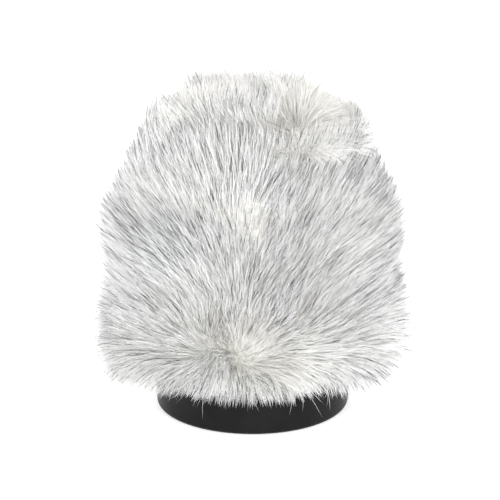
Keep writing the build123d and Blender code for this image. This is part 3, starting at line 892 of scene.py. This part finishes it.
def makeFoams():
    step, edge, bevel, foot, nib = [foamShape[key] for key in ("step", "edge", "bevel", "footBevel", "noseEdge")]
    inner = boxOf("cage_tube", 1, 0) + foamShape["gap"]
    sleeve, base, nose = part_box("foam_sleeve"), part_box("base_foam"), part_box("nose_pad")
    outer, low, joint, top = sleeve[1][0], sleeve[0][2], sleeve[1][2], boxOf("foam_end_cap", 1, 2)
    under = joint + foamShape["joint"]
    tube = [(inner, low), (outer - foot, low), (outer, low + foot),
            (outer, joint - bevel), (outer - bevel, joint), (inner, joint)]
    disc = [(0.0, under), (outer - bevel, under), (outer, under + bevel)]
    disc += arc(outer - edge, top - edge, edge, 0, 90, 16) + [(0.0, top)]
    bore, (wide, baseLow, baseHigh) = foamShape["baseBore"], (base[1][0], base[0][2], base[1][2])
    ring = [(bore, baseLow), (wide, baseLow), (wide, baseHigh), (bore, baseHigh)]
    tip, tipLow, tipHigh = nose[1][0], nose[0][2], nose[1][2]
    stub = [(0.0, tipLow), (tip - nib, tipLow)] + arc(tip - nib, tipLow + nib, nib, -90, 0, 4)
    stub += [(tip, tipHigh), (0.0, tipHigh)]
    many, few = foamShape["segments"], foamShape["smallSegments"]
    shapes = {
        "foam_sleeve": (closed(stepped(tube, step), step), many), "foam_end_cap": (stepped(disc, step), many),
        "base_foam": (closed(stepped(ring, foamShape["baseStep"]), step), few), "nose_pad": (stepped(stub, step), few)}
    for node, (outline, segments) in shapes.items():
        mesh = roughened(turnedMesh(node + "_pad", outline, segments), foamShape["depth"], foamShape["cell"])
        piece = settle(addObject(node + "_pad", mesh, openFoam), "core", [node])


makeFoams()
print("stage: foam cut")


# cover cloth, tape and stitches

coverCloth = {
    "thickness": 1.2 * mm, "segments": 240, "step": 2.0 * mm, "topStep": 3.0 * mm, "flatTop": 25.1 * mm,
    "puckers": 60, "seamPuckers": 56, "wrinkle": 0.12 * mm, "puckerTall": 2.5 * mm, "seamWidth": 38.0}
binding = {"width": 3.3 * mm, "bend": 1.0 * mm, "tape": 0.5 * mm, "elastic": 0.8 * mm}
seamStrip = {
    "width": 8.0 * mm, "thickness": 0.34 * mm, "inset": 0.4 * mm, "ripple": 0.06 * mm,
    "columns": 8, "rowStep": 2.0 * mm}


def puckered(low, high, seam=False):
    # cloth drawn in between the stitches at each end, and along the back seam
    def shift(place):
        turn = math.atan2(place.x, -place.y)
        tall = coverCloth["puckerTall"]
        hem = bell(place.z - low, tall) * math.cos(turn * coverCloth["puckers"])
        top = bell(place.z - high, tall) * math.cos(turn * coverCloth["seamPuckers"])
        back = math.exp(-((math.pi - abs(turn)) * coverCloth["seamWidth"]) ** 2) if seam else 0.0
        outward = Vector((place.x, place.y, 0)).normalized()
        folds = 0.8 * hem + 0.8 * top - 1.6 * back + 0.5 * noise.noise(place * 160.0) - 0.4
        return place + outward * coverCloth["wrinkle"] * folds
    return shift


def curvedStrip(name, low, high, radius):
    # a strip that lies up the cover's back, closed all round
    columns, rows = seamStrip["columns"], int((high - low) / seamStrip["rowStep"])
    points, faces = [], []
    for layer in (radius, radius + seamStrip["thickness"]):
        for i in range(rows + 1):
            for k in range(columns + 1):
                angle = math.pi + (k / columns - 0.5) * seamStrip["width"] / radius
                out = layer + seamStrip["ripple"] * math.sin(i * 1.9 + k)
                points.append((out * math.sin(angle), -out * math.cos(angle), low + (high - low) * i / rows))
    size = (rows + 1) * (columns + 1)

    def at(i, k, layer):
        return layer * size + i * (columns + 1) + k

    for i in range(rows):
        for k in range(columns):
            faces.append((at(i, k, 1), at(i, k + 1, 1), at(i + 1, k + 1, 1), at(i + 1, k, 1)))
            faces.append((at(i, k, 0), at(i + 1, k, 0), at(i + 1, k + 1, 0), at(i, k + 1, 0)))
        faces.append((at(i, 0, 0), at(i, 0, 1), at(i + 1, 0, 1), at(i + 1, 0, 0)))
        faces.append((at(i, columns, 0), at(i + 1, columns, 0), at(i + 1, columns, 1), at(i, columns, 1)))
    for k in range(columns):
        faces.append((at(0, k, 0), at(0, k + 1, 0), at(0, k + 1, 1), at(0, k, 1)))
        faces.append((at(rows, k, 0), at(rows, k, 1), at(rows, k + 1, 1), at(rows, k + 1, 0)))
    mesh = newMesh(name, points, faces)
    across, rise = 0.004, columns + 1  # the strip's step across the map, and the points in each row
    addWeave(mesh, [(across * (v % rise), (v % size) // rise / rows) for face in faces for v in face])
    mesh.shade_smooth()
    return mesh


stitching = {
    "hem_stitches": {"Count": 60, "Length": 2.6 * mm, "Zigzag": 0.0},
    "crown_seam_stitches": {"Count": 56, "Length": 2.4 * mm, "Zigzag": 1.25},
    "back_seam_stitches": {"Count": 22, "Length": 2.6 * mm, "Zigzag": 0.5}}
threadShape = {"thickness": 0.42 * mm, "sunk": 0.22 * mm, "endGap": 0.4 * mm}


def stitchTree():
    # a row of stitches, round the cover or up it
    tree, net, given = newTree("stitches", {
        "Geometry": ["Geometry"], "Object": ["Stitch"], "Material": ["Finish"], "Int": ["Count"],
        "Float": ["Radius", "First turn", "Turn step", "Height", "Rise", "Length", "Thickness", "Zigzag"]}, "Stitches")
    number = net.geometry("InputIndex")
    turn = given("First turn") + number * given("Turn step")
    place = net.joined(net.maths("COSINE", turn) * given("Radius"), net.maths("SINE", turn) * given("Radius"),
                       given("Height") + number * given("Rise"))
    row = net.geometry("MeshLine", {"Count": given("Count")})
    row = net.geometry("SetPosition", {"Geometry": row, "Position": place})
    swing = (net.maths("MODULO", number, 2.0) * 2.0 - 1.0) * given("Zigzag")
    facing = net.joined(0.0, swing, turn + math.pi / 2)
    stretch = net.joined(given("Length"), given("Thickness"), given("Thickness"))
    stitch = net.geometry("ObjectInfo", {"Object": given("Stitch")}, "Geometry")
    row = net.geometry("InstanceOnPoints", {"Points": row, "Instance": stitch, "Rotation": facing, "Scale": stretch})
    row = net.geometry("RealizeInstances", {"Geometry": row})
    row = net.geometry("SetMaterial", {"Geometry": row, "Material": given("Finish")})
    net.node("NodeGroupOutput", {}, {"Stitches": row})
    return tree


def makeStitches():
    ball = turnedMesh("stitch", arc(0.0, 0.0, 0.5, -90, 90, 5), 8)  # one across; the tree stretches it
    stitch, tree = addObject("stitch", ball), stitchTree()
    endGap, made = threadShape["endGap"], []
    for node, values in stitching.items():
        low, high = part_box(node)
        count = values["Count"]
        sizes = {**values, "Stitch": stitch, "Finish": whiteThread, "Thickness": threadShape["thickness"]}
        if node == "back_seam_stitches":
            sizes.update({"Radius": (low[1] + high[1]) / 2, "First turn": math.pi / 2, "Turn step": 0.0,
                          "Height": low[2] + endGap, "Rise": (high[2] - low[2] - 2 * endGap) / (count - 1)})
        else:
            sizes.update({"Radius": high[0] - threadShape["sunk"], "First turn": math.pi / count,
                          "Turn step": math.tau / count, "Height": (low[2] + high[2]) / 2, "Rise": 0.0})
        piece = grown(node + "_sewn", tree, bpy.data.meshes.new(node), sizes)
        made.append(settle(piece, "fur_cover", [node]))
    bpy.data.objects.remove(stitch)
    return made


def clothPiece(name, outline, shift, material, node):
    mesh = turnedMesh(name, outline, coverCloth["segments"], shift, True)
    return settle(addObject(name, mesh, material), "fur_cover", [node])


def makeCover():
    hemStitches, crownStitches, backStitches = makeStitches()
    side, crown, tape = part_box("side_backing"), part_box("crown_backing"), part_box("hem_tape")
    elastic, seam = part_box("hem_elastic"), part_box("back_seam_tape")
    thick, step = coverCloth["thickness"], coverCloth["step"]
    outer, low, high, brim, top = side[1][0], side[0][2], side[1][2], crown[0][2], crown[1][2]
    inner = outer - thick
    wall = closed(stepped([(inner, low), (outer, low), (outer, high), (inner, high)], step), step)
    panel = clothPiece("side_panel", wall, puckered(low, high, True), knitBacking, "side_backing")

    edge = outer - coverCloth["flatTop"]  # radius of the rounded edge; a flat top is left inside it

    def domeRun(radius):
        # from the brim over the rounded edge to the middle
        height = top - edge + radius
        start = [(outer - edge + radius, brim)] + arc(outer - edge, top - edge, radius, 0, 90, 12)
        return start + stepped([(outer - edge, height), (0.0, height)], coverCloth["topStep"])[1:]

    dome = domeRun(edge) + domeRun(edge - thick)[::-1]
    lid = clothPiece("crown_panel", dome, puckered(brim, brim), knitBacking, "crown_backing")

    r0, r1, z0, z1 = tape[1][0] - binding["width"], tape[1][0], tape[0][2], tape[1][2]
    bend, ply = binding["bend"], binding["tape"]
    left, right, base = r0 + bend, r1 - bend, z0 + bend
    fold = [(r0, z1)] + arc(left, base, bend, 180, 270, 4) + arc(right, base, bend, 270, 360, 4)
    fold += [(r1, z1), (r1 - ply, z1)] + arc(right, base, bend - ply, 360, 270, 4)
    fold += arc(left, base, bend - ply, 270, 180, 4) + [(r0 + ply, z1)]
    hem = clothPiece("hem_binding", fold, puckered(z0, z1), bindingCloth, "hem_tape")

    webbing, rim, under, over = binding["elastic"], elastic[1][0], elastic[0][2], elastic[1][2]
    around = stepped([(rim - webbing, under), (rim, under), (rim, over), (rim - webbing, over)], webbing)
    band = clothPiece("hem_elastic_band", around, None, elasticCloth, "hem_elastic")

    strip = curvedStrip("back_seam_strip", seam[0][2], seam[1][2], seam[1][1] - seamStrip["inset"])
    strip = settle(addObject("back_seam_strip", strip, bindingCloth), "fur_cover", ["back_seam_tape"])


makeCover()
print("stage: cover sewn")


# floor, light and camera

studio = {
    "floorHalf": 6.0, "floorHeight": -0.1 * mm, "floorGlow": 0.5, "sky": 1.42, "lookAt": (0, 0, 0.07),
    "lights": {
        "key": {"at": (0.75, -0.95, 1.15), "size": 0.9, "watts": 4.6},
        "front": {"at": (0.6, -1.35, 0.3), "size": 0.9, "watts": 8.3},
        "fill": {"at": (-1.1, -0.9, 0.6), "size": 1.0, "watts": 3.0},
        "back": {"at": (-0.3, 1.3, 0.7), "size": 1.0, "watts": 13.0}}}
view = {
    "elevation": 17.5, "distance": 0.9, "aim": (-1.0 * mm, 0.0, 63.0 * mm), "across": 196.5 * mm,
    "sensor": 36.0, "nearest": 0.01, "furthest": 100.0}


def makeStage():
    half, height = studio["floorHalf"], studio["floorHeight"]
    corners = [(-half, -half, height), (half, -half, height), (half, half, height), (-half, half, height)]
    pale = newMaterial("pale floor", {
        "Base Color": colour(0.9), "Roughness": 0.8, "Specular IOR Level": 0.1,
        "Emission Color": colour(1.0), "Emission Strength": studio["floorGlow"]})[0]
    addObject("floor", newMesh("floor", corners, [(0, 1, 2, 3)]), pale)
    world = bpy.data.worlds.new("studio")
    world.use_nodes = True
    sky = world.node_tree.nodes["Background"]
    sky.inputs["Color"].default_value = colour(1.0)
    sky.inputs["Strength"].default_value = studio["sky"]
    scene.world = world
    for name, values in studio["lights"].items():
        data = bpy.data.lights.new(name, "AREA")
        data.shape, data.size, data.energy = "DISK", values["size"], values["watts"]
        lamp = addObject(name, data)
        lamp.location = values["at"]
        lamp.rotation_euler = (Vector(studio["lookAt"]) - lamp.location).to_track_quat("-Z", "Y").to_euler()


def makeCamera():
    data = bpy.data.cameras.new("camera")
    data.sensor_width = view["sensor"]
    data.lens = view["sensor"] * view["distance"] / view["across"]
    data.clip_start, data.clip_end = view["nearest"], view["furthest"]
    camera = addObject("camera", data)
    tilt = math.radians(view["elevation"])
    camera.location = Vector(view["aim"]) + Vector((0, -math.cos(tilt), math.sin(tilt))) * view["distance"]
    camera.rotation_euler = (math.radians(90) - tilt, 0, 0)
    scene.camera = camera


makeStage()
makeCamera()
scene.view_settings.view_transform = "Standard"

# finishes of the parts that keep their shape
finishOf = {
    "base_ring": ringRubber, "base_plate": mouldedPlastic, "mic_grommet": grommetRubber,
    "grommet_retainer": mouldedPlastic, "retainer_screws": screwSteel,
    "cage_tube": cagePlastic, "cage_cap": cagePlastic}
for node, material in finishOf.items():
    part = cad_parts[node]
    part.data.materials.clear()
    part.data.materials.append(material)
print("stage: finishes on the rigid parts")
